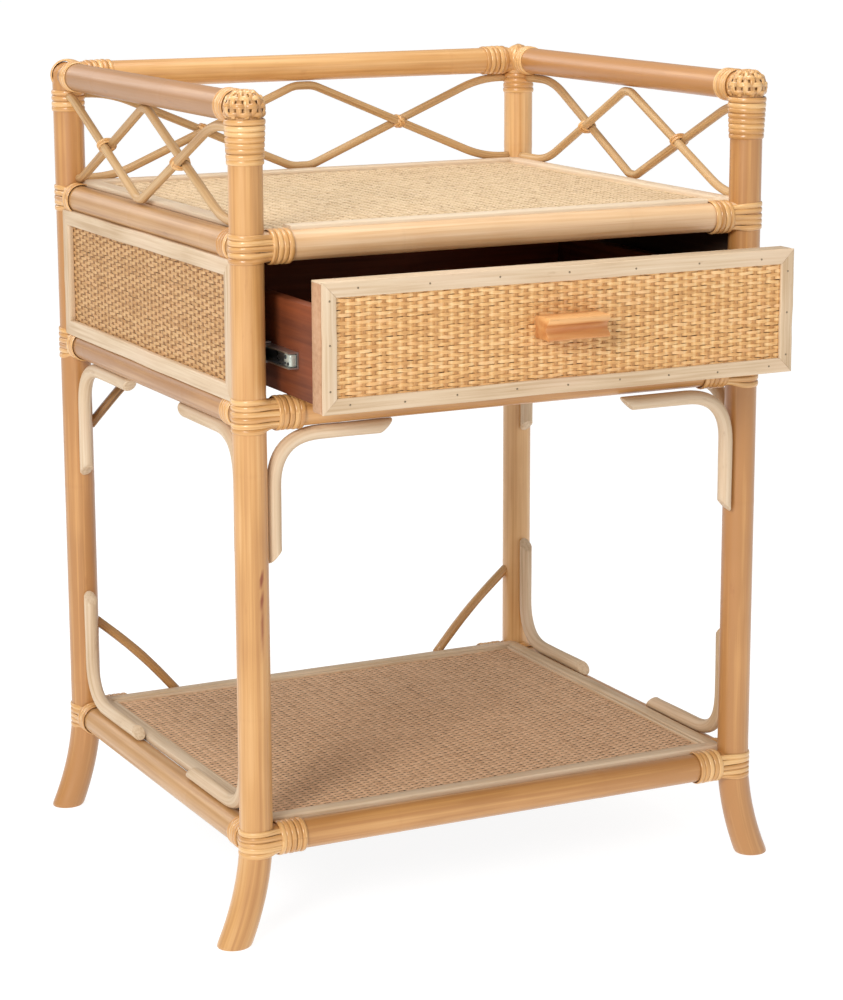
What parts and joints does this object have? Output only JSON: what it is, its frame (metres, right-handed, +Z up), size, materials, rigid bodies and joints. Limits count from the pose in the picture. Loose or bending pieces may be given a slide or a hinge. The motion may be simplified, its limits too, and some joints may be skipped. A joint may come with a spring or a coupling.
{
  "type": "side table with drawer",
  "caption": "Rattan side table: round-pole frame with splayed feet, lattice gallery round a woven tray top, a woven drawer on telescopic slides and an open woven bottom shelf.",
  "frame": {"origin": "centre of the bottom of the bounding box with the drawer partly open: on the floor, midway between left and right feet", "axes": "+Z up, the drawer opens towards -Y, +X to the right seen from the front"},
  "size_m": [0.5466, 0.5534, 0.7125],
  "materials": {
    "pole_rattan": "clear satin lacquer on honey-coloured rattan pole",
    "core_cane": "smooth pale core cane, matt lacquer",
    "lattice_cane": "light tan cane, satin",
    "brace_cane": "golden-brown cane with its skin on, satin",
    "top_mat": "fine pale woven mat, matt",
    "bottom_mat": "fine brown woven mat, matt",
    "panel_weave": "close tan rattan weave, matt",
    "drawer_weave": "golden basket weave, satin",
    "box_wood": "red-brown stained wood, satin",
    "handle_wood": "orange-tan hardwood, satin",
    "batten_wood": "plain sawn wood",
    "slide_steel": "zinc-plated sheet",
    "peel_binding": "glossy flat rattan peel",
    "pin_steel": "dull steel pin head"
  },
  "bodies": {
    "frame": {"post_front_left": "pole_rattan", "post_front_right": "pole_rattan", "post_back_left": "pole_rattan", "post_back_right": "pole_rattan", "gallery_rail_left": "pole_rattan", "gallery_rail_right": "pole_rattan", "gallery_rail_back": "pole_rattan", "upper_rail_left": "pole_rattan", "upper_rail_right": "pole_rattan", "upper_rail_front": "pole_rattan", "upper_rail_back": "pole_rattan", "middle_rail_left": "pole_rattan", "middle_rail_right": "pole_rattan", "middle_rail_front": "pole_rattan", "middle_rail_back": "pole_rattan", "lower_rail_left": "pole_rattan", "lower_rail_right": "pole_rattan", "lower_rail_front": "pole_rattan", "lower_rail_back": "pole_rattan", "top_shelf_panel": "top_mat", "top_shelf_trim": "core_cane", "bottom_shelf_panel": "bottom_mat", "bottom_shelf_trim": "core_cane", "side_panel_left": "panel_weave", "side_trim_left": "core_cane", "slide_runner_left": "batten_wood", "side_panel_right": "panel_weave", "side_trim_right": "core_cane", "slide_runner_right": "batten_wood", "back_panel": "panel_weave", "gallery_lattice_left": "lattice_cane", "gallery_lattice_right": "lattice_cane", "gallery_lattice_back": "lattice_cane", "upper_bracket_cross_front_left": "core_cane", "upper_bracket_cross_front_right": "core_cane", "upper_bracket_front_left": "core_cane", "lower_bracket_front_left": "core_cane", "upper_bracket_back_left": "core_cane", "lower_bracket_back_left": "core_cane", "upper_bracket_front_right": "core_cane", "lower_bracket_front_right": "core_cane", "upper_bracket_back_right": "core_cane", "lower_bracket_back_right": "core_cane", "back_brace_upper_left": "brace_cane", "back_brace_lower_left": "brace_cane", "back_brace_upper_right": "brace_cane", "back_brace_lower_right": "brace_cane", "slide_case_left": "slide_steel", "slide_case_right": "slide_steel"},
    "drawer": {"drawer_front": "drawer_weave", "drawer_front_trim": "core_cane", "drawer_handle": "handle_wood", "drawer_side_left": "box_wood", "drawer_side_right": "box_wood", "drawer_back": "box_wood", "drawer_bottom": "batten_wood", "slide_drawer_left": "slide_steel", "slide_drawer_right": "slide_steel"},
    "slide_middle_left": {"slide_middle_left": "slide_steel"},
    "slide_middle_right": {"slide_middle_right": "slide_steel"}
  },
  "joints": [
    {"name": "drawer_slide", "type": "slide", "parent": "frame", "child": "drawer", "axis": [0, -1, 0], "range_m": [-0.1, 0.19]},
    {"name": "left_middle_slide", "type": "slide", "parent": "frame", "child": "slide_middle_left", "axis": [0, -1, 0], "range_m": [-0.05, 0.095]},
    {"name": "right_middle_slide", "type": "slide", "parent": "frame", "child": "slide_middle_right", "axis": [0, -1, 0], "range_m": [-0.05, 0.095]}
  ],
  "couplings": [
    {"joint": "left_middle_slide", "follows": "drawer_slide", "ratio": 0.5},
    {"joint": "right_middle_slide", "follows": "drawer_slide", "ratio": 0.5}
  ]
}
